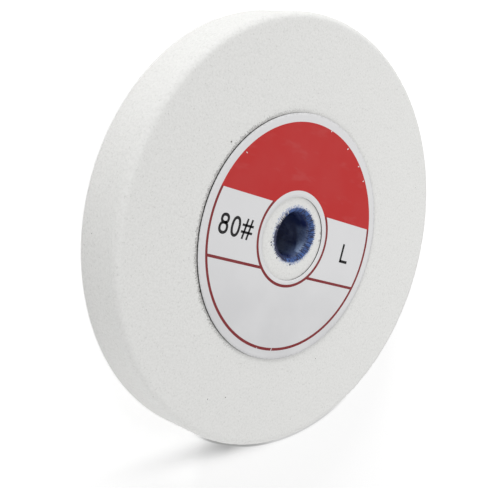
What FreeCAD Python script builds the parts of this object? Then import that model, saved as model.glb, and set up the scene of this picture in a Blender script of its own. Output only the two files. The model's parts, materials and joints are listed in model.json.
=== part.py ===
import FreeCAD, Part
import math
import os

# Straight grinding wheel for a bench grinder: a bonded abrasive disc with a plastic lining
# cast into its bore and a round paper label glued to its front. It lies on its back face.
# Millimetres. +Z is the wheel's axis and points out of the labelled face. The origin is
# on the axis, in the plane of the back face.

# Abrasive disc
wheel_diameter = 200.0
wheel_thickness = 25.0
front_edge_radius = 3.0
back_edge_radius = 1.5

# Bore lining
bore_diameter = 20.0
lining_wall = 2.4
flare_depth = 2.0  # lead-in at each end of the bore
flare_land = 0.4  # plastic left round the mouth of the lead-in

# At each face the plastic ran into the pores of the disc, in pointed fingers
finger_count = 54
finger_depth = 1.2  # along the axis, from the face
finger_reach = 1.1  # outwards, at the longest finger
finger_least = 0.25  # outwards, at the shortest finger
finger_waves = ((5, 0.0), (13, 2.0), (29, 4.0))  # round the bore: how many, and where each starts in radians
front_finger_turn = 20.0  # degrees, so that the two ends don't match
back_finger_turn = 95.0

# Paper label, stuck on by hand a little off the axis
label_diameter = 114.0
label_hole_diameter = 38.8
label_thickness = 0.5
label_shift_x = -0.8
label_shift_y = -1.4

axis = FreeCAD.Vector(0, 0, 1)
wheel_radius = wheel_diameter / 2
bore_radius = bore_diameter / 2
lining_radius = bore_radius + lining_wall
mouth_radius = lining_radius - flare_land


def point(radius, height):
    """A point of a half section, in the XZ plane."""
    return FreeCAD.Vector(radius, 0, height)


def line(start, end):
    return Part.LineSegment(start, end).toShape()


def edge_round(corner_radius, corner_height, size, inward):
    """A quarter circle that rounds the rim's corner. inward is +1 at the back and -1 at the front."""
    centre_radius = corner_radius - size
    centre_height = corner_height + inward * size
    diagonal = size * math.sqrt(0.5)
    on_rim = point(corner_radius, centre_height)
    middle = point(centre_radius + diagonal, centre_height - inward * diagonal)
    on_face = point(centre_radius, corner_height)
    return on_face, middle, on_rim


def revolved(edges):
    return Part.Face(Part.Wire(edges)).revolve(FreeCAD.Vector(0, 0, 0), axis, 360)


def abrasive_blank():
    """The pressed disc before its bore is made."""
    back_face, back_middle, back_rim = edge_round(wheel_radius, 0, back_edge_radius, 1)
    front_face, front_middle, front_rim = edge_round(
        wheel_radius, wheel_thickness, front_edge_radius, -1
    )
    return revolved([
        line(point(0, 0), back_face),
        Part.Arc(back_face, back_middle, back_rim).toShape(),
        line(back_rim, front_rim),
        Part.Arc(front_rim, front_middle, front_face).toShape(),
        line(front_face, point(0, wheel_thickness)),
        line(point(0, wheel_thickness), point(0, 0)),
    ])


def finger_length(index):
    """Uneven but repeatable: slow and quick waves whose counts share no factor."""
    angle = 2 * math.pi * index / finger_count
    wave = sum(math.sin(count * angle + start) for count, start in finger_waves) / len(finger_waves)
    return finger_least + (finger_reach - finger_least) * (1 + wave) / 2


def fingered_collar(base_height, turn):
    """The plastic next to one face: a round plate with a finger at every other corner."""
    corners = []
    for index in range(finger_count):
        tip_angle = 2 * math.pi * index / finger_count
        tip_radius = lining_radius + finger_length(index)
        notch_angle = 2 * math.pi * (index + 0.5) / finger_count
        for radius, angle in ((tip_radius, tip_angle), (lining_radius, notch_angle)):
            corners.append(FreeCAD.Vector(radius * math.cos(angle), radius * math.sin(angle), 0))
    outline = Part.makePolygon(corners + corners[:1])
    collar = Part.Face(outline).extrude(axis * finger_depth)
    collar.rotate(FreeCAD.Vector(0, 0, 0), axis, turn)
    collar.translate(axis * base_height)
    return collar


def lining_casting():
    """All the space that the plastic and the bore take up in the disc."""
    core = Part.makeCylinder(lining_radius, wheel_thickness)
    back_collar = fingered_collar(0, back_finger_turn)
    front_collar = fingered_collar(wheel_thickness - finger_depth, front_finger_turn)
    return core.fuse([back_collar, front_collar])


def mandrel():
    """The bore with its two flared lead-ins."""
    return revolved([
        line(point(0, 0), point(mouth_radius, 0)),
        line(point(mouth_radius, 0), point(bore_radius, flare_depth)),
        line(point(bore_radius, flare_depth), point(bore_radius, wheel_thickness - flare_depth)),
        line(point(bore_radius, wheel_thickness - flare_depth), point(mouth_radius, wheel_thickness)),
        line(point(mouth_radius, wheel_thickness), point(0, wheel_thickness)),
        line(point(0, wheel_thickness), point(0, 0)),
    ])


def paper_label():
    sheet = Part.makeCylinder(label_diameter / 2, label_thickness)
    hole = Part.makeCylinder(label_hole_diameter / 2, label_thickness)
    label = sheet.cut(hole)
    label.translate(FreeCAD.Vector(label_shift_x, label_shift_y, wheel_thickness))
    return label


casting = lining_casting()
pieces = {
    "abrasive_wheel": abrasive_blank().cut(casting),
    "bore_bush": casting.cut(mandrel()),
    "paper_label": paper_label(),
}

os.makedirs("parts", exist_ok=True)
for name, shape in pieces.items():
    shape.exportStep("parts/" + name + ".step")
    print(name, "solids", len(shape.Solids), "valid", shape.isValid(), "volume", round(shape.Volume, 1))
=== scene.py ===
import json
import math
import random

import bpy
import numpy as np
from mathutils import Matrix, Vector, noise


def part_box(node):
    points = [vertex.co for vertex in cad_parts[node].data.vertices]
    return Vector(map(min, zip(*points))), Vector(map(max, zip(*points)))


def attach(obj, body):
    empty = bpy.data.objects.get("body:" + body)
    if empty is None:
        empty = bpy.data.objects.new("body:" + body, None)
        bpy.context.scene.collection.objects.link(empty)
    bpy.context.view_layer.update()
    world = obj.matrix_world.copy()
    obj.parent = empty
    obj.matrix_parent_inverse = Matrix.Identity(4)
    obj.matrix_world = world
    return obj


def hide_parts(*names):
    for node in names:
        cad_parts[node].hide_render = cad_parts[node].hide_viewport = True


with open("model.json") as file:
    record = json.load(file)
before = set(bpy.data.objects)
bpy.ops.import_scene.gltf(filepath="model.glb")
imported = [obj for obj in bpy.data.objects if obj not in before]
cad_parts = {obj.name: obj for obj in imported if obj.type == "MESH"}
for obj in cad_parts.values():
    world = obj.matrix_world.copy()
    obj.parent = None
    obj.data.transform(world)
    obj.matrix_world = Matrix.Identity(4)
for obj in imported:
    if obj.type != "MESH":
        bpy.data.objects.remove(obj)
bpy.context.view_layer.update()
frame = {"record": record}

mm = 0.001  # in metres


def inMm(*values):
    return tuple(value * mm for value in values)


# what the CAD fixes
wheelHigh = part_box("abrasive_wheel")[1]
labelLow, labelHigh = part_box("paper_label")
boreMount = next(mount for mount in frame["record"]["mounts"] if mount["name"] == "bore")
wheelRadius = wheelHigh.x
faceHeight = wheelHigh.z
boreRadius = boreMount["dims"]["r_mm"] * mm
labelCentre = Vector(((labelLow.x + labelHigh.x) / 2, (labelLow.y + labelHigh.y) / 2))
labelRadius = (labelHigh.x - labelLow.x) / 2


# mesh helpers

def spread(low, high, step):
    return list(np.linspace(low, high, max(2, round((high - low) / step) + 1)))


def smoothStep(x, low, high):
    t = np.clip((x - low) / (high - low), 0, 1)
    return t * t * (3 - 2 * t)


def noiseAt(points, size, octaves=1, seed=0.0):
    # smooth noise, about -1 to 1, at every point of an array (..., 3)
    flat = points.reshape(-1, 3) / size + seed
    if octaves == 1:
        values = [noise.noise(p) for p in flat]
    else:
        values = [noise.fractal(p, 1.0, 2.0, octaves) for p in flat]  # each octave half the size and strength
    return np.array(values).reshape(points.shape[:-1])


def around(columns):
    return np.linspace(0, 2 * math.pi, columns, endpoint=False)


def gridFaces(rows, columns, closedRows, closedColumns, first=0):
    # four-sided faces of a grid of points, which can close on itself either way
    i = np.arange(rows if closedRows else rows - 1)[:, None]
    j = np.arange(columns if closedColumns else columns - 1)[None, :]
    here, below = i * columns, (i + 1) % rows * columns
    after = (j + 1) % columns
    corners = [here + j, below + j, below + after, here + after]
    return np.stack([np.broadcast_to(c, (i.size, j.size)).ravel() for c in corners], axis=-1) + first


def rayAt(degrees):
    return math.cos(math.radians(degrees)), math.sin(math.radians(degrees))


def addObject(name, data):
    thing = bpy.data.objects.new(name, data)
    bpy.context.scene.collection.objects.link(thing)
    return thing


def meshPiece(name, points, faces, smooth=True):
    mesh = bpy.data.meshes.new(name)
    mesh.from_pydata([tuple(p) for p in points], [], [tuple(int(k) for k in f) for f in faces])
    mesh.validate()
    mesh.polygons.foreach_set("use_smooth", [smooth] * len(mesh.polygons))
    return addObject(name, mesh)


def turned(radius, height):
    # radius and height of every row and column, as points round the wheel's axis
    angle = around(radius.shape[1])
    return np.stack([radius * np.cos(angle), radius * np.sin(angle), height], axis=-1)


def ringPiece(name, points):
    # closed ring: the rows run round its section, outside on the left, and the columns round the axis
    rows, columns = points.shape[:2]
    return meshPiece(name, points.reshape(-1, 3), gridFaces(rows, columns, True, True))


def crumb(points, faces, centre, width, draw, outward=(0, 0, 1), tall=0.5):
    # small closed lump with an uneven outline, most of it sunk into the surface below it
    sides, uneven, top = 7, (0.7, 1.2), 0.2
    first = len(points)
    stand = Vector(outward).to_track_quat("Z", "Y").to_matrix()
    for k in range(sides):
        turn = 2 * math.pi * k / sides
        reach = width / 2 * draw.uniform(*uneven)
        points.append(centre + stand @ Vector((reach * math.cos(turn), reach * math.sin(turn), 0)))
    points.append(centre + stand @ Vector((0, 0, width * tall * top)))
    points.append(centre - stand @ Vector((0, 0, width * tall)))
    for k in range(sides):
        after = (k + 1) % sides
        faces.append((first + k, first + after, first + sides))
        faces.append((first + after, first + k, first + sides + 1))


# shader helpers

def isSocket(value):
    return isinstance(value, bpy.types.NodeSocket)


def put(value, socket):
    # a socket is linked, anything else is set on it
    if isSocket(value):
        socket.id_data.links.new(value, socket)
    else:
        socket.default_value = value


def addNode(owner, kind, inputs=None, **settings):
    # owner: the node tree, or any socket in it; inputs: name or number of a socket -> its value
    node = owner.id_data.nodes.new(kind)
    for key, value in settings.items():
        setattr(node, key, value)
    for key, value in (inputs or {}).items():
        put(value, node.inputs[key])
    return node


def maths(operation, a, b=0.0, clamp=False):
    owner = a if isSocket(a) else b
    return addNode(owner, "ShaderNodeMath", {0: a, 1: b}, operation=operation, use_clamp=clamp).outputs[0]


def plus(a, b):
    return maths("ADD", a, b)


def minus(a, b, clamp=False):
    return maths("SUBTRACT", a, b, clamp)


def times(value, *factors):
    for factor in factors:
        value = maths("MULTIPLY", value, factor)
    return value


def larger(a, b):
    return maths("MAXIMUM", a, b)


def ramp(value, low, high, outLow=0.0, outHigh=1.0):
    # smooth change between two values, and what comes out at each
    inputs = dict(enumerate((value, low, high, outLow, outHigh)))
    return addNode(value, "ShaderNodeMapRange", inputs, interpolation_type="SMOOTHSTEP").outputs[0]


def fall(value, low, high):
    return ramp(value, low, high, 1.0, 0.0)


def product(look, *factors, **along):
    # factors times ramps: a name is a ramp in the dictionary, and its value is what that runs along
    return times(*factors, *(ramp(value, *look[key]) for key, value in along.items()))


def mix(factor, a, b, kind="RGBA"):
    inputs = {"Factor": factor, "A": a, "B": b}
    return addNode(factor, "ShaderNodeMix", inputs, data_type=kind).outputs["Result"]


def noiseTexture(place, scale, detail=2.0, rough=0.5):
    inputs = {"Vector": place, "Scale": scale, "Detail": detail, "Roughness": rough}
    return addNode(place, "ShaderNodeTexNoise", inputs).outputs["Fac"]


def cellTexture(place, scale):
    return addNode(place, "ShaderNodeTexVoronoi", {"Vector": place, "Scale": scale}, feature="F1").outputs


def alongAxes(place):
    axes = addNode(place, "ShaderNodeSeparateXYZ", {0: place}).outputs
    return axes["X"], axes["Y"], axes["Z"]


def joinAxes(x, y, z):
    return addNode(x if isSocket(x) else z, "ShaderNodeCombineXYZ", {0: x, 1: y, 2: z}).outputs[0]


def vectorMaths(operation, a, b=None, output="Vector"):
    inputs = {0: a} if b is None else {0: a, ("Scale" if operation == "SCALE" else 1): b}
    return addNode(a, "ShaderNodeVectorMath", inputs, operation=operation).outputs[output]


def flatDistance(x, y, centre=(0, 0)):
    # distance from an upright line
    if any(centre):
        x, y = minus(x, centre[0]), minus(y, centre[1])
    return vectorMaths("LENGTH", joinAxes(x, y, 0.0), output="Value")


def newGroup(name, inputs, outputs):
    # inputs: name -> first value, None for a place; outputs: names of the masks and heights it puts out
    group = bpy.data.node_groups.new(name, "ShaderNodeTree")
    for title, value in inputs.items():
        kind = "NodeSocketFloat" if isinstance(value, float) else "NodeSocketVector"
        socket = group.interface.new_socket(name=title, in_out="INPUT", socket_type=kind)
        if value is not None:
            socket.default_value = value
    for title in outputs:
        group.interface.new_socket(name=title, in_out="OUTPUT", socket_type="NodeSocketFloat")
    return group, addNode(group, "NodeGroupInput").outputs, addNode(group, "NodeGroupOutput").inputs


def useGroup(group, values):
    return addNode(values["Place"], "ShaderNodeGroup", values, node_tree=group).outputs


def newMaterial(name):
    material = bpy.data.materials.new(name)
    material.use_nodes = True
    tree = material.node_tree
    tree.nodes.clear()
    end = addNode(tree, "ShaderNodeOutputMaterial").inputs["Surface"]
    return material, tree, end, addNode(tree, "ShaderNodeTexCoord").outputs["Object"]


def newFinish(name, look):
    # look: the dictionary that holds its roughness, specular and bump
    material, tree, end, place = newMaterial(name)
    inputs = {"Roughness": look["roughness"], "Specular IOR Level": look["specular"]}
    surface = addNode(tree, "ShaderNodeBsdfPrincipled", inputs)
    put(surface.outputs["BSDF"], end)
    return material, surface.inputs, place


def coat(surface, base, height, look):
    strength, distance = look["bump"]
    bump = addNode(height, "ShaderNodeBump", {"Strength": strength, "Distance": distance, "Height": height})
    put(base, surface["Base Color"])
    put(bump.outputs["Normal"], surface["Normal"])


def colour(red, green, blue):
    # 0 to 255, as read off a swatch, to a linear colour by the standard curve of screens
    def linear(c):
        c /= 255
        return c / 12.92 if c <= 0.04045 else ((c + 0.055) / 1.055) ** 2.4
    return (linear(red), linear(green), linear(blue), 1.0)


# effects that more than one finish uses

grainEffect = {
    "grainScale": 4200.0,
    "crystalHeight": 0.45,  # the lumps' height is 1
    "lumps": (0.26, 3.0, 0.6),  # scale as a share of the grain's, detail and roughness of the noise
    "clouds": (0.22, 3.0, 0.6),
    "poreShare": 0.36,
    "poreEdge": 0.05,
    "poreDepth": 0.5,
}
fibreEffect = {
    "fibreScale": 2600.0,
    "stretch": (1.0, 0.35, 1.0),
    "fibres": (4.0, 0.65),  # detail and roughness of the noise
    "clouds": (0.018, 3.0, 0.5),
}
ringEffect = {
    "innerRadius": 12 * mm,
    "outerRadius": 14 * mm,
    "breakScale": 1200.0,
    "breaks": (2.0, 0.6),
    "breakReach": 2.4,  # in widths of the zone that is broken up
}


def makeBondedGrain():
    # small crystals in lumps, with open pores between them
    group, given, out = newGroup(
        "bondedGrain",
        {"Place": None, "Grain Scale": grainEffect["grainScale"], "Pore Share": grainEffect["poreShare"]},
        ("Height", "Pores", "Cloud"),
    )
    place, scale, poreShare = given["Place"], given["Grain Scale"], given["Pore Share"]

    def coarse(share, detail, rough):
        return noiseTexture(place, times(scale, share), detail, rough)

    crystals = minus(1.0, cellTexture(place, scale)["Distance"])
    lumps = coarse(*grainEffect["lumps"])
    edge = grainEffect["poreEdge"]
    pores = fall(lumps, minus(poreShare, edge), plus(poreShare, edge))
    height = plus(times(crystals, grainEffect["crystalHeight"]), lumps)
    put(minus(height, times(pores, grainEffect["poreDepth"])), out["Height"])
    put(pores, out["Pores"])
    put(coarse(*grainEffect["clouds"]), out["Cloud"])
    return group


def makeCardFibre():
    # card surface: short fibres and a faint cloudy formation
    firstValues = {"Place": None, "Fibre Scale": fibreEffect["fibreScale"]}
    group, given, out = newGroup("cardFibre", firstValues, ("Height", "Cloud"))
    place, scale = given["Place"], given["Fibre Scale"]
    stretch = addNode(group, "ShaderNodeMapping", {"Scale": fibreEffect["stretch"], "Vector": place})
    fibres = noiseTexture(stretch.outputs["Vector"], scale, *fibreEffect["fibres"])
    put(fibres, out["Height"])
    share, detail, rough = fibreEffect["clouds"]
    put(noiseTexture(place, times(scale, share), detail, rough), out["Cloud"])
    return group


def makeRaggedRing():
    # mask round a centre: 1 inside the inner radius, 0 outside the outer one, broken up between them
    firstValues = {
        "Place": None,
        "Centre": None,
        "Inner Radius": ringEffect["innerRadius"],
        "Outer Radius": ringEffect["outerRadius"],
        "Break Scale": ringEffect["breakScale"],
    }
    group, given, out = newGroup("raggedRing", firstValues, ("Mask",))
    x, y = alongAxes(vectorMaths("SUBTRACT", given["Place"], given["Centre"]))[:2]
    inner, outer = given["Inner Radius"], given["Outer Radius"]
    breaks = noiseTexture(given["Place"], given["Break Scale"], *ringEffect["breaks"])
    jitter = times(minus(breaks, 0.5), minus(outer, inner), ringEffect["breakReach"])
    put(fall(plus(flatDistance(x, y), jitter), inner, outer), out["Mask"])
    return group


bondedGrain = makeBondedGrain()
cardFibre = makeCardFibre()
raggedRing = makeRaggedRing()


def ringMask(place, centre, inner, outer, breakScale):
    return useGroup(raggedRing, {
        "Place": place, "Centre": (*centre, 0),
        "Inner Radius": inner, "Outer Radius": outer, "Break Scale": breakScale,
    })["Mask"]


print("shared effects are ready")


# the abrasive disc

disc = {
    "pocketRadius": 12.4 * mm,
    "pocketMargin": 0.05 * mm,  # the wall of the pocket keeps its form up to here
    "frontRound": 3.0 * mm,
    "backRound": 1.5 * mm,
    "frontSteps": 6,
    "backSteps": 4,
    "columns": 720,
    "boreZoneEnd": 21 * mm,
    "boreZoneStep": 0.45 * mm,  # ring spacing next to the bore, under the label, on the bare face and rim,
    "coveredStep": 6 * mm,
    "faceStep": 0.95 * mm,
    "backStep": 4.5 * mm,  # and on the back
    "coveredStart": 24 * mm,
    "coveredMargin": 4 * mm,  # from the label's edge inwards: end of the wide rings, start of the fine ones
    "faceMargin": 2 * mm,
    "swell": 0.05 * mm,  # depth of the broad unevenness, and its noise: size, octaves, seed
    "swellNoise": (7 * mm, 2),
    "grain": 0.07 * mm,
    "grainNoise": (1.3 * mm, 1, 7.3),
    "edgeWear": 0.35 * mm,
    "wearNoise": (2.4 * mm, 2, 31.0),
    "wearInset": inMm(3.4, 0.8),  # from the rim inwards: where the wear starts and where it is full
    "wearDrop": inMm(3.6, 1.2),  # the same from the face down
    "pitDepth": 0.4 * mm,
    "pitNoise": (1.7 * mm, 1, 53.0),
    "pitShare": (0.62, 0.78),
    "white": colour(238, 238, 236),
    "roughness": 0.92,
    "specular": 0.2,
    "poreShade": colour(206, 206, 203),
    "poreTint": 0.5,
    "cloudTint": (0.38, 0.64, 0.0, 0.2),
    "speckShade": colour(150, 148, 143),
    "speckTint": 0.3,
    "speckScale": 420.0,
    "speckSpread": 0.34,  # how much the sizes differ
    "speckRarity": 0.16,
    "speckEdge": 0.05,
    "speckGroupScale": 150.0,
    "speckGroups": (0.55, 0.7),
    # painted shadow along the label's edge, most of it on one side: its colour, rings and masks
    "labelDirt": colour(70, 66, 64),
    "dirtRings": [  # from the label's edge outwards: inner, outer, scale of the breaks, strength
        (0.0, 0.5 * mm, 1200.0, 0.95),
        (0.2 * mm, 2.6 * mm, 1500.0, 0.42),
    ],
    "dirtEdge": (0.45, 0.75),
    "dirtSide": (-48 * mm, 0.0, 1.0, 0.12),
    "dirtRadius": inMm(30, 40),
    "dirtHeight": inMm(20, 24),
    "boreStain": colour(104, 130, 186),
    "stainTint": 0.6,
    "stainRing": (*inMm(12.3, 14.9), 1900.0),
    "stainEdge": (0.35, 0.75),
    "lumpNoise": (1000.0, 2.0, 0.6),
    "lumpHeight": 1.4,
    "bump": (0.6, 0.1 * mm),
}
darkGrains = {
    "onFace": [  # place from the axis and width in millimetres
        (-52.3, 30.9, 0.9), (79.4, 40.1, 0.4), (-28.4, -60.2, 0.45), (36.5, -54.8, 0.7),
        (-27.7, -79.6, 0.5), (-17.1, -78.0, 0.55),
    ],
    "onRim": [  # degrees round the axis, height and width
        (-168.1, 8.0, 0.8), (147.0, 15.5, 0.4), (-141.0, 6.2, 0.45), (61.0, 12.4, 0.5),
        (-33.0, 17.0, 0.45),
    ],
    "faceSink": 0.06 * mm,
    "rimSink": 0.1 * mm,
    "seed": 5,
    "colours": (colour(128, 126, 121), colour(70, 66, 64)),
    "roughness": 0.8,
    "specular": 0.3,
    "grainScale": 6000.0,
    "bump": (0.5, 0.05 * mm),
}


def discSection():
    # half section of the disc, from the bore's front edge outwards and back underneath: (radius, height)
    inside, outside = disc["pocketRadius"], wheelRadius
    front, back, top = disc["frontRound"], disc["backRound"], faceHeight
    face = spread(inside, disc["boreZoneEnd"], disc["boreZoneStep"])
    face += spread(disc["coveredStart"], labelRadius - disc["coveredMargin"], disc["coveredStep"])
    face += spread(labelRadius - disc["faceMargin"], outside - front, disc["faceStep"])
    section = [(r, top) for r in face]
    for k in range(1, disc["frontSteps"]):
        turn = k / disc["frontSteps"] * math.pi / 2
        section.append((outside - front + front * math.sin(turn), top - front + front * math.cos(turn)))
    section += [(outside, z) for z in spread(back, top - front, disc["faceStep"])[::-1]]
    for k in range(1, disc["backSteps"]):
        turn = k / disc["backSteps"] * math.pi / 2
        section.append((outside - back + back * math.cos(turn), back - back * math.sin(turn)))
    section += [(r, 0.0) for r in spread(inside, outside - back, disc["backStep"])[::-1]]
    return np.array(section)


def outwards(section):
    # the section's unit normals, pointing out of the material
    along = np.roll(section, -1, axis=0) - np.roll(section, 1, axis=0)
    normal = np.stack([-along[:, 1], along[:, 0]], axis=-1)
    return normal / np.linalg.norm(normal, axis=1, keepdims=True)


def makeDisc():
    section = discSection()
    normal = outwards(section)
    radius = np.repeat(section[:, :1], disc["columns"], axis=1)
    height = np.repeat(section[:, 1:], disc["columns"], axis=1)
    points = turned(radius, height)
    depth = disc["swell"] * (0.5 + 0.5 * noiseAt(points, *disc["swellNoise"]))
    depth += disc["grain"] * (0.5 + 0.5 * noiseAt(points, *disc["grainNoise"]))
    # the rounded front edge has crumbled a little
    onEdge = smoothStep(radius, *(wheelRadius - inset for inset in disc["wearInset"]))
    onEdge *= smoothStep(height, *(faceHeight - drop for drop in disc["wearDrop"]))
    depth += onEdge * disc["edgeWear"] * np.clip(noiseAt(points, *disc["wearNoise"]), 0, 1)
    # open pits here and there
    depth += disc["pitDepth"] * smoothStep(noiseAt(points, *disc["pitNoise"]), *disc["pitShare"])
    depth[radius < disc["pocketRadius"] + disc["pocketMargin"]] = 0
    return ringPiece("grindingDisc", turned(radius - depth * normal[:, :1], height - depth * normal[:, 1:]))


def makeDarkGrains():
    draw = random.Random(darkGrains["seed"])
    points, faces = [], []
    for x, y, width in darkGrains["onFace"]:
        centre = Vector((x * mm, y * mm, faceHeight - darkGrains["faceSink"]))
        crumb(points, faces, centre, width * mm, draw)
    for degrees, height, width in darkGrains["onRim"]:
        outward = Vector((*rayAt(degrees), 0))
        centre = outward * (wheelRadius - darkGrains["rimSink"]) + Vector((0, 0, height * mm))
        crumb(points, faces, centre, width * mm, draw, outward)
    return meshPiece("darkGrains", points, faces)


def makeDiscFinish():
    material, surface, place = newFinish("whiteAbrasive", disc)
    grain = useGroup(bondedGrain, {"Place": place})
    base = mix(times(grain["Pores"], disc["poreTint"]), disc["white"], disc["poreShade"])
    base = mix(ramp(grain["Cloud"], *disc["cloudTint"]), base, disc["poreShade"])
    # rare grey grains in the white, in loose groups
    cells = cellTexture(place, disc["speckScale"])
    size = minus(times(cells["Color"], disc["speckSpread"]), disc["speckRarity"])
    speck = fall(minus(cells["Distance"], size), -disc["speckEdge"], disc["speckEdge"])
    groups = ramp(noiseTexture(place, disc["speckGroupScale"]), *disc["speckGroups"])
    base = mix(times(speck, groups, disc["speckTint"]), base, disc["speckShade"])
    # painted shadow along the label's edge, most of it on one side
    x, y, z = alongAxes(place)
    dirt = 0.0
    for inner, outer, breakScale, strength in disc["dirtRings"]:
        ring = ringMask(place, labelCentre, labelRadius + inner, labelRadius + outer, breakScale)
        dirt = larger(ramp(ring, *disc["dirtEdge"], 0.0, strength), dirt)
    side = product(disc, dirtSide=x, dirtRadius=flatDistance(x, y), dirtHeight=z)
    base = mix(times(dirt, side), base, disc["labelDirt"])
    # the lining has soaked into the grain next to the bore
    stain = ramp(ringMask(place, (0, 0), *disc["stainRing"]), *disc["stainEdge"])
    base = mix(times(stain, disc["stainTint"]), base, disc["boreStain"])
    lumps = times(noiseTexture(place, *disc["lumpNoise"]), disc["lumpHeight"])
    coat(surface, base, plus(grain["Height"], lumps), disc)
    return material


def makeCrumbFinish(name, look):
    # finish of the small lumps: dark grains and drops of the lining
    material, surface, place = newFinish(name, look)
    grain = useGroup(bondedGrain, {"Place": place, "Grain Scale": look["grainScale"]})
    coat(surface, mix(grain["Cloud"], *look["colours"]), grain["Height"], look)
    return material


discPiece = makeDisc()
discPiece.data.materials.append(makeDiscFinish())
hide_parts("abrasive_wheel")
grainPiece = makeDarkGrains()
grainPiece.data.materials.append(makeCrumbFinish("darkGrain", darkGrains))
for piece in (discPiece, grainPiece):
    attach(piece, "root")
print("abrasive disc:", len(discPiece.data.polygons) * 2, "triangles")


# the plastic lining cast into the bore

lining = {
    "columns": 1440,
    "mouthRadius": 12.3 * mm,
    "mouthDip": 1.2 * mm,  # it is narrower on one side, where the plastic lies on the face in powder
    "dipTurn": math.radians(150),
    "flareReach": 7.0 * mm,  # how deep the mouth starts to open
    "flareCurve": 4.0,
    "flareRows": 18,
    "flareCrowding": 1.5,  # the rows lie closer together towards the face
    "boreRows": 10,
    "backInset": 1.3 * mm,  # hidden rows in the disc: how far in from each face
    "edgeRadius": 12.43 * mm,  # root of the fingers on the faces
    "edgeWander": 0.12 * mm,
    "wanderNoise": (3.2 * mm, 2),
    "edgeOval": 0.3 * mm,  # it reaches further out on two sides, turned by ovalTurn from the x axis
    "ovalTurn": math.radians(20),
    "edgeSeeds": (3, 8),  # front and back
    "fingerCount": 88,
    "fingerLengths": inMm(0.4, 1.4),
    "longFingerShare": 0.25,
    "longFinger": 1.9 * mm,
    "longFingerRange": (0.7, 1.0),
    "fingerShrink": 0.55,  # share that they are shorter on the other two sides
    "fingerTips": (0.3, 0.7),  # where a tip lies between its two notches
    "filmSteps": (0.3, 0.55, 0.75, 0.9, 1.0),  # rows on a face; the last one is rooted in the disc
    "filmLift": 0.03 * mm,
    "filmRoot": 0.4 * mm,
    "streakDepth": 0.3 * mm,
    "streakFade": inMm(1.2, 3.0),  # depths between which the streaks end
    "streakRound": 12 * mm,  # they are drawn on a circle of this radius, and stretched down the flare
    "streakStretch": (1, 1, 0.25),
    "streakNoise": (0.4 * mm, 2),
    "lumpNoise": (0.9 * mm, 1, 23.0),
    "lumpShare": 0.5,
    "streakRange": (-1, 0.5),
    "blue": colour(62, 97, 160),
    "navy": colour(10, 20, 58),
    "wall": colour(42, 54, 96),
    "wallNearMouth": colour(36, 46, 92),
    # pale blue-grey of the random haze on the bore wall, and of the painted reflection
    "dust": colour(142, 163, 198),
    "grainScale": 5200.0,
    "poreShare": 0.45,
    "poreTint": 0.35,
    "rayScale": 26.0,  # colour streaks: scale round the axis and along it
    "rayRise": 420.0,
    "rayNoise": (1.0, 3.0, 0.7),
    "rayJitter": 7.0 * mm,  # how far they shift the edge of the rough mouth
    "roughDepth": inMm(1.6, 2.1),
    # painted shade: the flare turns navy on one side
    "wornLean": 0.3,
    "worn": (*inMm(-12.5, -2), -0.3, 0.0),
    # painted reflection on the wall inside the front mouth: where it lies and how it fades
    "blueShare": (0.475, 0.515),
    "dustStart": (-0.86, -0.72),  # radians round the axis
    "dustStop": (0.34, 0.62, 1.0, 0.0),
    "dustThick": (-0.55, -0.05, 1.0, 0.38),
    "dustLean": 3.6 * mm,
    "dustHeight": inMm(16.4, 19.0),
    "dustClouds": (0.25, 0.55, 0.6, 1.0),
    "filmStart": (-1.35, -0.95),
    "filmStop": (-0.6, -0.3, 0.32, 0.0),
    "filmHeight": inMm(5, 11),
    "wallDepth": inMm(4, 9),
    "hazeNoise": (190.0, 3.0, 0.6),
    "haze": (0.42, 0.68, 0.0, 0.16),
    "powderJitter": -1.7,
    "powderReach": inMm(11.3, 12.1),
    "powderHeight": inMm(24.5, 24.9),
    "powderShare": 0.8,
    "wallRoughness": (0.18, 0.5),  # clean, and under the painted reflection
    "roughness": 0.62,  # of the mouth
    "specular": 0.5,
    "wallNoise": (420.0, 2.0, 0.5),
    "wallRelief": 2.0,
    "bump": (0.7, 0.14 * mm),
}
# drops of plastic in pores beyond the edge
liningDrops = {
    "placed": [  # degrees round the axis, radius and width in millimetres
        (-156.8, 14.9, 0.95), (-151.7, 14.8, 0.9), (-161.9, 14.3, 0.4), (168.0, 14.0, 0.5),
        (158.4, 13.9, 0.34), (-122.3, 14.2, 0.8), (-81.5, 13.8, 1.1), (26.9, 13.9, 0.4),
        (75.2, 13.8, 0.36),
    ],
    "smallCount": 26,
    "smallTurn": (-180, 180),
    "smallRadius": (13.2, 14.3),
    "smallWidth": (0.16, 0.34),
    "seed": 12,
    "sink": 0.03 * mm,
    "tall": 0.3,
    "colours": (colour(24, 32, 52), colour(44, 60, 100)),
    "roughness": 0.5,
    "specular": 0.4,
    "grainScale": 6000.0,
    "bump": (0.4, 0.05 * mm),
}


def fingerEdge(columns, seed):
    # radius of the plastic's edge on a face, column by column: pointed fingers of uneven length
    draw = random.Random(seed)
    count = lining["fingerCount"]
    lengths, tips = [], []
    for k in range(count):
        if draw.random() < lining["longFingerShare"]:
            lengths.append(draw.uniform(*lining["longFingerRange"]) * lining["longFinger"])
        else:
            lengths.append(draw.uniform(*lining["fingerLengths"]))
        tips.append(draw.uniform(*lining["fingerTips"]))
    turns = np.arange(columns) / columns * count
    finger = turns.astype(int) % count
    phase, tip = turns - np.floor(turns), np.array(tips)[finger]
    slope = np.where(phase < tip, phase / tip, (1 - phase) / (1 - tip))
    angle = around(columns)
    edge = np.stack([np.cos(angle), np.sin(angle), np.full(columns, seed)], axis=-1) * lining["edgeRadius"]
    wander = lining["edgeWander"] * noiseAt(edge, *lining["wanderNoise"])
    far = 0.5 + 0.5 * np.cos(2 * (angle - lining["ovalTurn"]))
    root = np.maximum(lining["edgeRadius"] + lining["edgeOval"] * far + wander, disc["pocketRadius"])
    return root + np.array(lengths)[finger] * (1 - lining["fingerShrink"] * (1 - far)) * slope


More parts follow.
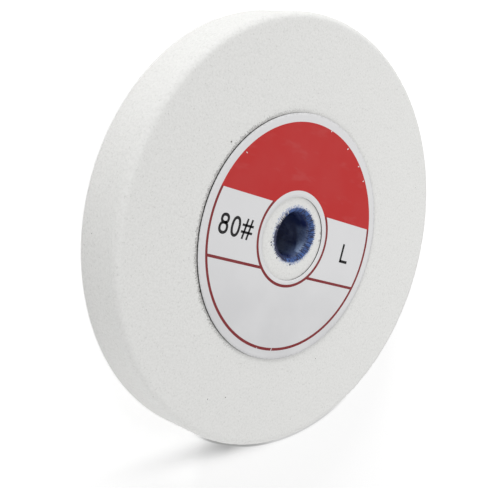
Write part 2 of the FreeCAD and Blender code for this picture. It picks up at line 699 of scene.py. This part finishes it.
def mouthEdge(columns):
    # radius of the opening in the plane of a face, column by column
    narrow = np.maximum(np.cos(around(columns) - lining["dipTurn"]), 0) ** 2
    return lining["mouthRadius"] - lining["mouthDip"] * narrow


def flareRadius(mouth, depth):
    # radius of the opening at a depth below either face
    rise = np.clip(1 - depth / lining["flareReach"], 0, 1) ** lining["flareCurve"]
    return boreRadius + (mouth - boreRadius) * rise


def makeLining():
    columns, reach = lining["columns"], lining["flareReach"]
    low, high = 0.0, faceHeight
    depths = [reach * (1 - t) ** lining["flareCrowding"] for t in np.linspace(0, 1, lining["flareRows"])]
    frontEdge, backEdge = (fingerEdge(columns, seed) for seed in lining["edgeSeeds"])
    mouth = mouthEdge(columns)
    radius, height, streaked = [], [], []

    def addRow(r, z, share=0.0):
        radius.append(np.broadcast_to(r, columns))
        height.append(np.broadcast_to(z, columns))
        streaked.append(share)

    def addFlare(depth, z):
        addRow(flareRadius(mouth, depth), z, float(1 - smoothStep(depth, *lining["streakFade"])))

    def sunk(t):
        return lining["filmRoot"] if t == 1 else 0.0

    for depth in depths:  # up the front flare
        addFlare(depth, high - depth)
    for t in lining["filmSteps"]:  # film on the front face, out to the ragged edge
        addRow(mouth + (frontEdge - mouth) * t, high + lining["filmLift"] - sunk(t))
    inset = lining["backInset"]
    for z in (high - inset, (low + high) / 2, low + inset):  # down inside the disc
        addRow(disc["pocketRadius"], z)
    for t in lining["filmSteps"][::-1]:
        addRow(mouth + (backEdge - mouth) * t, low + sunk(t))
    for depth in depths[::-1]:
        addFlare(depth, low + depth)
    for t in np.linspace(0, 1, lining["boreRows"])[1:-1]:  # up the plain part of the bore
        addRow(boreRadius, low + reach + (high - low - 2 * reach) * t)
    radius, height = np.array(radius), np.array(height)
    points = turned(radius, height)
    # radial streaks: the noise hardly changes down the flare
    fromAxis = np.linalg.norm(points[..., :2], axis=-1, keepdims=True)
    onRound = points * np.array(lining["streakStretch"]) / fromAxis * lining["streakRound"]
    streaks = noiseAt(onRound, *lining["streakNoise"])
    streaks += lining["lumpShare"] * noiseAt(points, *lining["lumpNoise"])
    streaks = np.clip(streaks, *lining["streakRange"])
    share = np.array(streaked)[:, None]
    radius = np.maximum(radius + share * lining["streakDepth"] * streaks, boreRadius)
    inPocket = disc["pocketRadius"] - disc["pocketMargin"]
    radius = np.where(share > 0, np.minimum(radius, inPocket), radius)
    return ringPiece("boreLining", turned(radius, height))


def makeDrops():
    draw = random.Random(liningDrops["seed"])
    points, faces = [], []
    drops = list(liningDrops["placed"])
    for k in range(liningDrops["smallCount"]):
        drops.append([draw.uniform(*liningDrops[key]) for key in ("smallTurn", "smallRadius", "smallWidth")])
    for degrees, radius, width in drops:
        x, y = rayAt(degrees)
        centre = Vector((radius * mm * x, radius * mm * y, faceHeight - liningDrops["sink"]))
        crumb(points, faces, centre, width * mm, draw, tall=liningDrops["tall"])
    return meshPiece("liningDrops", points, faces)


def makeLiningFinish():
    material, surface, place = newFinish("blueLining", lining)
    x, y, z = alongAxes(place)
    half = faceHeight / 2
    depth = minus(half, maths("ABSOLUTE", minus(z, half)))
    grain = useGroup(bondedGrain, {
        "Place": place, "Grain Scale": lining["grainScale"], "Pore Share": lining["poreShare"],
    })
    # streaks that run out from the axis
    ray = vectorMaths("NORMALIZE", joinAxes(x, y, 0.0))
    ray = vectorMaths("SCALE", ray, lining["rayScale"])
    ray = vectorMaths("ADD", ray, joinAxes(0.0, 0.0, times(z, lining["rayRise"])))
    streak = noiseTexture(ray, *lining["rayNoise"])
    jitter = times(minus(streak, 0.5), lining["rayJitter"])
    rough = fall(plus(depth, jitter), *lining["roughDepth"])
    # pale blue shows between the navy streaks; painted shade makes it least on one side
    worn = ramp(plus(x, times(y, lining["wornLean"])), *lining["worn"])
    blueShare = ramp(plus(streak, worn), *lining["blueShare"])
    flare = mix(blueShare, lining["navy"], lining["blue"])
    flare = mix(times(grain["Pores"], lining["poreTint"]), flare, lining["navy"])
    # painted reflection: a pale patch on the wall inside the front mouth, thick at one end of the patch and
    # thin at the other
    angle = maths("ARCTAN2", y, x)
    leaning = plus(z, times(angle, lining["dustLean"]))
    wiped = product(lining, dustStart=angle, dustStop=angle, dustThick=angle, dustHeight=leaning)
    # and a fainter painted reflection further in
    film = product(lining, filmStart=angle, filmStop=angle, filmHeight=z)
    clouds = ramp(grain["Cloud"], *lining["dustClouds"])
    wiped = times(larger(wiped, film), clouds)
    wall = mix(ramp(depth, *lining["wallDepth"]), lining["wallNearMouth"], lining["wall"])
    haze = ramp(noiseTexture(place, *lining["hazeNoise"]), *lining["haze"])
    wall = mix(haze, wall, lining["dust"])
    wall = mix(wiped, wall, lining["dust"])
    base = mix(rough, wall, flare)
    # white powder on the film where the mouth is narrow
    turn = lining["dipTurn"]
    reach = plus(times(x, math.cos(turn)), times(y, math.sin(turn)))
    reach = plus(reach, times(jitter, lining["powderJitter"]))
    powder = times(product(lining, powderReach=reach, powderHeight=z), lining["powderShare"])
    base = mix(powder, base, disc["white"])
    gloss = ramp(wiped, 0.0, 1.0, *lining["wallRoughness"])
    put(larger(gloss, times(rough, lining["roughness"])), surface["Roughness"])
    wallHeight = times(noiseTexture(place, *lining["wallNoise"]), lining["wallRelief"])
    height = mix(rough, wallHeight, plus(grain["Height"], streak), "FLOAT")
    coat(surface, base, height, lining)
    return material


liningPiece = makeLining()
liningPiece.data.materials.append(makeLiningFinish())
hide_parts("bore_bush")
dropPiece = makeDrops()
dropPiece.data.materials.append(makeCrumbFinish("liningDrop", liningDrops))
for piece in (liningPiece, dropPiece):
    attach(piece, "root")
print("bore lining:", len(liningPiece.data.polygons) * 2, "triangles")


# the paper label and its print

label = {
    "holeRadius": 19.4 * mm,
    "holeShift": inMm(-0.1, -0.45),
    "thickness": 0.46 * mm,
    "edgeLift": 0.02 * mm,  # the rim of the card stands off a little here and there
    "liftStart": 44 * mm,
    "liftWaves": (3, 0.6, 2, -1.0),  # round the card: how many and where they start, twice
    "bevel": 0.05 * mm,
    "columns": 360,
    "topRows": (0.04, 0.96, 0.06),  # across the card: first, last, step
    "backRows": (1.0, 0.6, 0.0),
    "card": colour(228, 228, 229),
    "roughness": 0.6,
    "specular": 0.3,
    # grey on the card in faint clouds, darker towards the bottom
    "smudge": colour(200, 200, 202),
    "smudgeClouds": (0.32, 0.68, 0.5, 1.1),
    "smudgeFade": (*inMm(-46, -8), 0.42, 0.12),  # darker towards the bottom
    "cutEdge": colour(26, 24, 24),
    "rubbedRing": (*inMm(0.9, 0.4), 700.0),  # inside the rim, outside it, scale of the breaks
    "rubbedTint": 0.2,
    "cutSlope": (0.2, 0.9),
    "bump": (0.25, 0.03 * mm),
}
printed = {
    "ringWidth": 1.3 * mm,
    "outerRing": 52.3 * mm,  # middle of the line
    "innerRing": 22.5 * mm,
    "ringColumns": 181,
    "fieldBottom": 13.5 * mm,  # the red field fills the label above this height
    "fieldColumns": 240,
    "fieldRows": 20,
    "lineMiddle": -16.5 * mm,
    "lineColumns": 20,
    "lineRows": 3,
    "inkHeight": 0.015 * mm,
    "red": colour(189, 42, 41),
    "lineRed": colour(128, 42, 45),
    "cover": 0.94,
    "roughness": 0.5,
    "specular": 0.15,
    "thinShare": 0.2,  # of the card in thin ink
    "thinClouds": (0.35, 0.7),
    "rubStretch": (0.35, 1.0, 1.0),
    "rubNoise": (170.0, 3.0, 0.6),
    "rubShare": (0.56, 0.74),
    "bump": (0.2, 0.03 * mm),
}
marks = {
    "black": colour(10, 10, 12),
    "cover": 0.95,
    "pen": 1.36 * mm,  # width of the strokes
    "thinPen": 0.8,  # share of it in the sign
    "foot": -6.3 * mm,
    "head": 2.95 * mm,
    "waist": 0.55,
    "eightMiddle": -44.15 * mm,
    "eightWidths": inMm(5.7, 5.2),
    "noughtMiddle": -37.05 * mm,
    "noughtWidth": 5.6 * mm,
    "signMiddle": -29.85 * mm,
    "signSides": inMm(-1.4, 1.4),
    "signLean": 0.65 * mm,
    "signLevels": (0.34, 0.67),
    "signHalf": 3.5 * mm,
    "letterLeft": 35.4 * mm,
    "letterFoot": -5.55 * mm,
    "letterTall": 9.1 * mm,
    "letterWide": 5.8 * mm,
}
# where the red has chipped
chips = {
    "placed": [  # place on the label, length and width in millimetres, degrees
        (4.3, -52.2, 1.3, 0.45, 80), (-5.3, -52.6, 0.8, 0.4, 95), (7.2, 52.3, 1.1, 0.55, 60),
        (21.2, 47.2, 1.0, 0.55, 35), (31.9, 41.2, 0.9, 0.5, 20), (38.0, 35.3, 0.9, 0.45, 50),
        (-41.6, 30.1, 0.9, 0.4, 150),
    ],
    "steps": (-1, -0.4, 0.5, 1),
    "lift": 0.004 * mm,
}


def cardLift(x, y):
    # how far the card stands off the disc, at a point given from the label's centre
    radius, angle = np.hypot(x, y), np.arctan2(y, x)
    count, start, otherCount, otherStart = label["liftWaves"]
    wave = 0.5 + 0.5 * np.sin(count * angle + start) * np.cos(otherCount * angle + otherStart)
    outer = (radius - label["liftStart"]) / (labelRadius - label["liftStart"])
    return label["edgeLift"] * wave * np.clip(outer, 0, 1) ** 2


def onCard(x, y, above):
    # points at a height above the label's upper side, in the row frame
    x, y = np.broadcast_arrays(x, y)
    height = faceHeight + label["thickness"] + cardLift(x, y) + above
    return np.stack([labelCentre.x + x, labelCentre.y + y, height], axis=-1)


def onInk(radius, angle):
    return onCard(radius * np.cos(angle), radius * np.sin(angle), printed["inkHeight"])


def makeCard():
    angle = around(label["columns"])
    ray = np.stack([np.cos(angle), np.sin(angle)])
    hole = ray * label["holeRadius"] + np.array(label["holeShift"])[:, None]
    rim = ray * labelRadius
    bevel = label["bevel"]
    edge = bevel / (labelRadius - label["holeRadius"])
    rows = []

    def addRow(t, above):
        x, y = hole * (1 - t) + rim * t
        rows.append(onCard(x, y, above))

    addRow(0.0, -bevel)
    for t in [edge] + spread(*label["topRows"]) + [1 - edge]:
        addRow(t, 0.0)
    addRow(1.0, -bevel)
    for t in label["backRows"]:
        addRow(t, -label["thickness"])
    return ringPiece("paperLabel", np.array(rows))


def slab(top, depth=0.03 * mm):
    # closed thin solid under a grid of points: (points, faces)
    top = np.array(top)
    rows, columns = top.shape[:2]
    count = rows * columns
    faces = [tuple(f) for f in gridFaces(rows, columns, False, False)]
    faces += [tuple(f) for f in gridFaces(rows, columns, False, False, first=count)[:, ::-1]]
    edge = list(range(columns))
    edge += [i * columns + columns - 1 for i in range(1, rows)]
    edge += [(rows - 1) * columns + j for j in range(columns - 2, -1, -1)]
    edge += [i * columns for i in range(rows - 2, 0, -1)]
    faces += [(b, b + count, a + count, a) for a, b in zip(edge, edge[1:] + edge[:1])]
    return np.concatenate([top.reshape(-1, 3), (top - np.array([0, 0, depth])).reshape(-1, 3)]), faces


def joined(name, slabs):
    points, faces, first = [], [], 0
    for somePoints, someFaces in slabs:
        points.append(somePoints)
        faces += [tuple(int(k) + first for k in f) for f in someFaces]
        first += len(somePoints)
    return meshPiece(name, np.concatenate(points), faces, smooth=False)


def acrossLine(middle):
    half = printed["ringWidth"] / 2
    return np.linspace(middle - half, middle + half, printed["lineRows"])


def ringSlab(middle, inField):
    # the part of a line round the centre that is inside the field's height, or the rest of it
    turn = math.asin(printed["fieldBottom"] / middle)
    start, stop = (turn, math.pi - turn) if inField else (math.pi - turn, 2 * math.pi + turn)
    angle = np.linspace(start, stop, printed["ringColumns"])
    return slab([onInk(radius, angle) for radius in acrossLine(middle)])


def fieldSlab(ringIn, ringOut):
    # the ring-shaped space between the lines, above the field's lower edge
    bottom = printed["fieldBottom"]
    start, corner = math.asin(bottom / ringOut), math.asin(bottom / ringIn)
    angle = np.linspace(start, math.pi - start, printed["fieldColumns"])
    angle = np.sort(np.append(angle, (corner, math.pi - corner)))
    low = np.maximum(ringIn, bottom / np.sin(angle))
    shares = np.linspace(0, 1, printed["fieldRows"])
    return slab([onInk(low + (ringOut - low) * t, angle) for t in shares])


def lineSlab(ringIn, ringOut, side):
    rows = []
    for y in acrossLine(printed["lineMiddle"]):
        ends = sorted(side * math.sqrt(ring ** 2 - y ** 2) for ring in (ringIn, ringOut))
        rows.append(onCard(np.linspace(*ends, printed["lineColumns"]), y, printed["inkHeight"]))
    return slab(rows)


def makeRedPrint():
    half = printed["ringWidth"] / 2
    ringIn, ringOut = printed["innerRing"] + half, printed["outerRing"] - half
    field = joined("labelRedField", [
        fieldSlab(ringIn, ringOut),
        ringSlab(printed["outerRing"], True),
        ringSlab(printed["innerRing"], True),
    ])
    lines = joined("labelRedLines", [
        ringSlab(printed["outerRing"], False),
        ringSlab(printed["innerRing"], False),
        lineSlab(ringIn, ringOut, 1),
        lineSlab(ringIn, ringOut, -1),
    ])
    return field, lines


def stroke(path, width, closed=False):
    # flat ribbon along a path of (x, y) points
    path = np.array(path)
    along = np.roll(path, -1, axis=0) - np.roll(path, 1, axis=0) if closed else np.gradient(path, axis=0)
    along /= np.linalg.norm(along, axis=1, keepdims=True)
    across = np.stack([-along[:, 1], along[:, 0]], axis=-1)
    rows = []
    for side in (-1, 0, 1):
        line = path + across * width / 2 * side
        line = np.concatenate([line, line[:1]]) if closed else line
        rows.append(onCard(line[:, 0], line[:, 1], printed["inkHeight"]))
    return slab(rows)


def bar(start, end, width, steps=5):
    start, end = np.array(start), np.array(end)
    return stroke([start + (end - start) * t for t in np.linspace(0, 1, steps)], width)


def oval(centreX, low, high, width, pen, squareness=2.25, steps=56):
    # closed upright round, given by its outer size
    halfWide, halfTall = (width - pen) / 2, (high - low - pen) / 2
    path = []
    for turn in around(steps):
        c, s = math.cos(turn), math.sin(turn)
        path.append((
            centreX + halfWide * math.copysign(abs(c) ** (2 / squareness), c),
            (low + high) / 2 + halfTall * math.copysign(abs(s) ** (2 / squareness), s),
        ))
    return stroke(path, pen, closed=True)


def makeMarks():
    # grit size and hardness grade, in plain upright letters
    pen, foot, head = marks["pen"], marks["foot"], marks["head"]
    thinPen = pen * marks["thinPen"]
    waist = foot + (head - foot) * marks["waist"]
    eight, sign = marks["eightMiddle"], marks["signMiddle"]
    lowerWidth, upperWidth = marks["eightWidths"]
    slabs = [
        oval(eight, foot, waist + pen / 2, lowerWidth, pen),
        oval(eight, waist - pen / 2, head, upperWidth, pen),
        oval(marks["noughtMiddle"], foot, head, marks["noughtWidth"], pen),
    ]
    for side in marks["signSides"]:
        lean = marks["signLean"]
        slabs.append(bar((sign + side - lean, foot), (sign + side + lean, head), thinPen))
    for share in marks["signLevels"]:
        level = foot + (head - foot) * share
        slabs.append(bar((sign - marks["signHalf"], level), (sign + marks["signHalf"], level), thinPen))
    left, bottom = marks["letterLeft"], marks["letterFoot"]
    upright, level = left + pen / 2, bottom + pen / 2
    slabs.append(bar((upright, bottom), (upright, bottom + marks["letterTall"]), pen))
    slabs.append(bar((left, level), (left + marks["letterWide"], level), pen))
    return joined("labelMarks", slabs)


def makeChips():
    slabs = []
    for x, y, length, width, degrees in chips["placed"]:
        way = np.array(rayAt(degrees)) * (length * mm) / 2
        top, faces = stroke([np.array([x, y]) * mm + way * t for t in chips["steps"]], width * mm)
        slabs.append((top + np.array([0, 0, chips["lift"]]), faces))
    return joined("printChips", slabs)


def makeCardFinish():
    material, surface, place = newFinish("labelCard", label)
    fibre = useGroup(cardFibre, {"Place": place})
    # grey in faint clouds, darker towards the bottom
    grey = product(label, smudgeClouds=fibre["Cloud"], smudgeFade=alongAxes(place)[1])
    base = mix(grey, label["card"], label["smudge"])
    # the rim is rubbed and the cut edge dark
    inside, outside, breakScale = label["rubbedRing"]
    middle = ringMask(place, labelCentre, labelRadius - inside, labelRadius + outside, breakScale)
    tint = label["rubbedTint"]
    base = mix(minus(tint, times(middle, tint)), base, label["cutEdge"])
    up = alongAxes(addNode(place, "ShaderNodeNewGeometry").outputs["True Normal"])[2]
    base = mix(fall(up, *label["cutSlope"]), base, label["cutEdge"])
    coat(surface, base, fibre["Height"], label)
    return material


def makeInkFinish(name, ink, cover):
    material, surface, place = newFinish(name, printed)
    fibre = useGroup(cardFibre, {"Place": place})
    share = printed["thinShare"]
    thin = tuple((1 - share) * a + share * b for a, b in zip(ink, label["card"]))
    base = mix(ramp(fibre["Cloud"], *printed["thinClouds"], 0.0, 1 - cover), ink, thin)
    # faint rubbed places, longer one way
    stretched = vectorMaths("MULTIPLY", place, printed["rubStretch"])
    rubbed = ramp(noiseTexture(stretched, *printed["rubNoise"]), *printed["rubShare"])
    base = mix(times(rubbed, 2 * (1 - cover)), base, thin)
    coat(surface, base, fibre["Height"], printed)
    return material


cardFinish = makeCardFinish()
cardPiece = makeCard()
cardPiece.data.materials.append(cardFinish)
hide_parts("paper_label")
fieldPiece, linesPiece = makeRedPrint()
fieldPiece.data.materials.append(makeInkFinish("redInk", printed["red"], printed["cover"]))
linesPiece.data.materials.append(makeInkFinish("darkRedInk", printed["lineRed"], printed["cover"]))
marksPiece = makeMarks()
marksPiece.data.materials.append(makeInkFinish("blackInk", marks["black"], marks["cover"]))
chipPiece = makeChips()
chipPiece.data.materials.append(cardFinish)
for piece in (cardPiece, fieldPiece, linesPiece, marksPiece, chipPiece):
    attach(piece, "root")
print("paper label with its print")


# floor, light and camera

studio = {
    "floorSize": 6.0,
    "floorDrop": 0.02 * mm,
    "floorShade": 0.8,
    "shadeShare": 0.22,  # of the floor's shade where the painted shade is darkest
    "boreGlow": inMm(14, 40),  # no glow in the bore: distances between which it starts
    "floorGlow": (0.5, 2.5, 0.48, 0.75),  # added where the camera looks, so that the open floor is white
    "shadeStart": inMm(19, -106),  # darkest place of the soft shade on the floor next to the disc
    "shadeSlope": 0.26,
    "shadeWidth": 4 * mm,
    "shadeFade": 23 * mm,
    "shadeDepth": 0.42,
    "shadeRoot": inMm(10, 18),  # along x: it stops reaching in to the disc
    "shadeEnd": inMm(36, 60),  # and ends
    "shadeTop": inMm(-96, -88),
    "shadeClear": 2.0,  # how fast the glow ends in it
    "contactCentre": inMm(24.8, 1.4),  # circle of the painted contact shadow along the disc's lower edge
    "contactRing": (*inMm(108.5, 109.8), 0.55, 0.0),  # its two radii, and how dark it is at each
    "contactStart": inMm(-10, 14),  # along x: it starts, gets thinner and ends
    "contactThin": (*inMm(30, 54), 1.0, 0.45),
    "contactEnd": (*inMm(84, 104), 1.0, 0.0),
    "contactTop": (*inMm(-60, -50), 1.0, 0.0),
    "liftedRadius": (*inMm(102, 140), 1.0, 0.0),  # painted light: extra share of the glow beside the disc, lower left, that lifts the floor's shade there
    "liftedEnd": (*inMm(-4, 8), 1.0, 0.0),
    "liftedGlow": (*inMm(-60, -10), 0.35, 0.0),
    "dullSpot": inMm(80, -105),  # painted faint shade: round it the floor is a touch below white
    "dull": (*inMm(90, 260), 0.3, 0.0),
    "sky": 0.39,
    "lamps": {
        # direction towards the lamp, share of the light, width and distance in metres
        "highLight": ((0.5, 0.2, 0.84), 0.305, 0.5, 0.7),
        "sideLight": ((-0.50, 0.85, 0.20), 0.61, 1.0, 2.0),
        "lowFill": ((-0.13, -0.98, 0.12), 0.31, 1.0, 2.0),
        "edgeLight": ((-0.41, -0.41, 0.82), 0.13, 1.0, 2.0),
    },
}
view = {
    "place": inMm(-336.55, -7.05, 336.53),
    "lookingAt": inMm(-29.95, -9.59, 25.0),
    "pictureUp": (-0.1747, 0.9681, -0.1798),
    "focalPixels": 1000.9,
    "picturePixels": 488,
    "sensor": 36.0,
    "clip": (0.01, 20.0),
}


def floorShade(x, y):
    # narrow soft shade that starts under the disc's lower edge and thins out to the left
    startX, startY = studio["shadeStart"]
    away = minus(startX, x)
    middle = minus(startY, times(away, studio["shadeSlope"]))
    across = maths("DIVIDE", minus(y, middle), studio["shadeWidth"])
    # where it starts it reaches all the way in to the disc
    gap = times(larger(across, 0.0), fall(x, *studio["shadeRoot"]))
    across = plus(maths("MINIMUM", across, 0.0), gap)
    bell = maths("EXPONENT", times(across, across, -0.5))
    fade = maths("EXPONENT", times(larger(away, 0.0), -1 / studio["shadeFade"]))
    fade = times(fade, fall(x, *studio["shadeEnd"]))
    shade = times(bell, fade, studio["shadeDepth"], fall(y, *studio["shadeTop"]))
    # painted contact shadow, darker where the disc's edge comes down to the floor
    out = flatDistance(x, y, studio["contactCentre"])
    line = product(studio, contactRing=out, contactStart=x, contactThin=x, contactEnd=x, contactTop=y)
    return larger(shade, line)


def looking(tree):
    # 1 for a ray from the camera, straight or by way of gloss or glass
    path = addNode(tree, "ShaderNodeLightPath").outputs
    return larger(larger(path["Is Camera Ray"], path["Is Transmission Ray"]), path["Is Glossy Ray"])


def makeFloor():
    size = studio["floorSize"] / 2
    corners = [(-size, -size, 0), (size, -size, 0), (size, size, 0), (-size, size, 0)]
    floor = meshPiece("studioFloor", corners, [(0, 1, 2, 3)], smooth=False)
    floor.location.z = -studio["floorDrop"]
    material, tree, end, place = newMaterial("paleFloor")
    x, y = alongAxes(place)[:2]
    shade = floorShade(x, y)
    plain, dark = studio["floorShade"], studio["floorShade"] * studio["shadeShare"]
    grey = mix(shade, (plain, plain, plain, 1), (dark, dark, dark, 1))
    lit = addNode(tree, "ShaderNodeBsdfDiffuse", {"Color": grey}).outputs[0]
    distance = flatDistance(x, y)
    seen = product(studio, looking(tree), boreGlow=distance, floorGlow=distance)
    # painted light beside the disc, lower left
    lifted = product(studio, liftedRadius=distance, liftedEnd=x, liftedGlow=y)
    clear = minus(1.0, maths("MULTIPLY", shade, studio["shadeClear"], clamp=True))
    dull = ramp(flatDistance(x, y, studio["dullSpot"]), *studio["dull"])
    clear = minus(clear, dull, clamp=True)
    strength = times(seen, plus(lifted, 1.0), clear)
    glow = addNode(tree, "ShaderNodeEmission", {"Strength": strength}).outputs[0]
    put(addNode(tree, "ShaderNodeAddShader", {0: lit, 1: glow}).outputs[0], end)
    floor.data.materials.append(material)


def makeLamps():
    target = Vector((0, 0, faceHeight / 2))
    for name, (direction, share, width, distance) in studio["lamps"].items():
        towards = Vector(direction).normalized()
        data = bpy.data.lights.new(name, "AREA")
        data.shape = "DISK"
        data.size = width
        data.energy = share * math.pi ** 2 * distance ** 2  # so that it gives the same light at any distance
        lamp = addObject(name, data)
        lamp.location = target + towards * distance
        lamp.rotation_mode = "QUATERNION"
        lamp.rotation_quaternion = towards.to_track_quat("Z", "Y")


def makeSky():
    world = bpy.data.worlds.new("softSky")
    world.use_nodes = True
    tree = world.node_tree
    background = tree.nodes["Background"].inputs
    put((1.0, 1.0, 1.0, 1.0), background["Color"])
    # white where it is looked at, and dimmer as a light
    put(ramp(looking(tree), 0.0, 1.0, studio["sky"], 1.0), background["Strength"])
    bpy.context.scene.world = world


def makeCamera():
    data = bpy.data.cameras.new("photoView")
    data.sensor_width = view["sensor"]
    data.lens = view["sensor"] * view["focalPixels"] / view["picturePixels"]
    data.clip_start, data.clip_end = view["clip"]
    camera = addObject("photoView", data)
    place, lookingAt = Vector(view["place"]), Vector(view["lookingAt"])
    back = (place - lookingAt).normalized()
    right = Vector(view["pictureUp"]).cross(back).normalized()
    turn = Matrix((right, back.cross(right), back)).transposed()
    camera.matrix_world = Matrix.Translation(place) @ turn.to_4x4()
    bpy.context.scene.camera = camera


makeFloor()
makeLamps()
makeSky()
makeCamera()
bpy.context.scene.view_settings.view_transform = "Standard"
print("floor, light and camera")

bpy.context.view_layer.update()
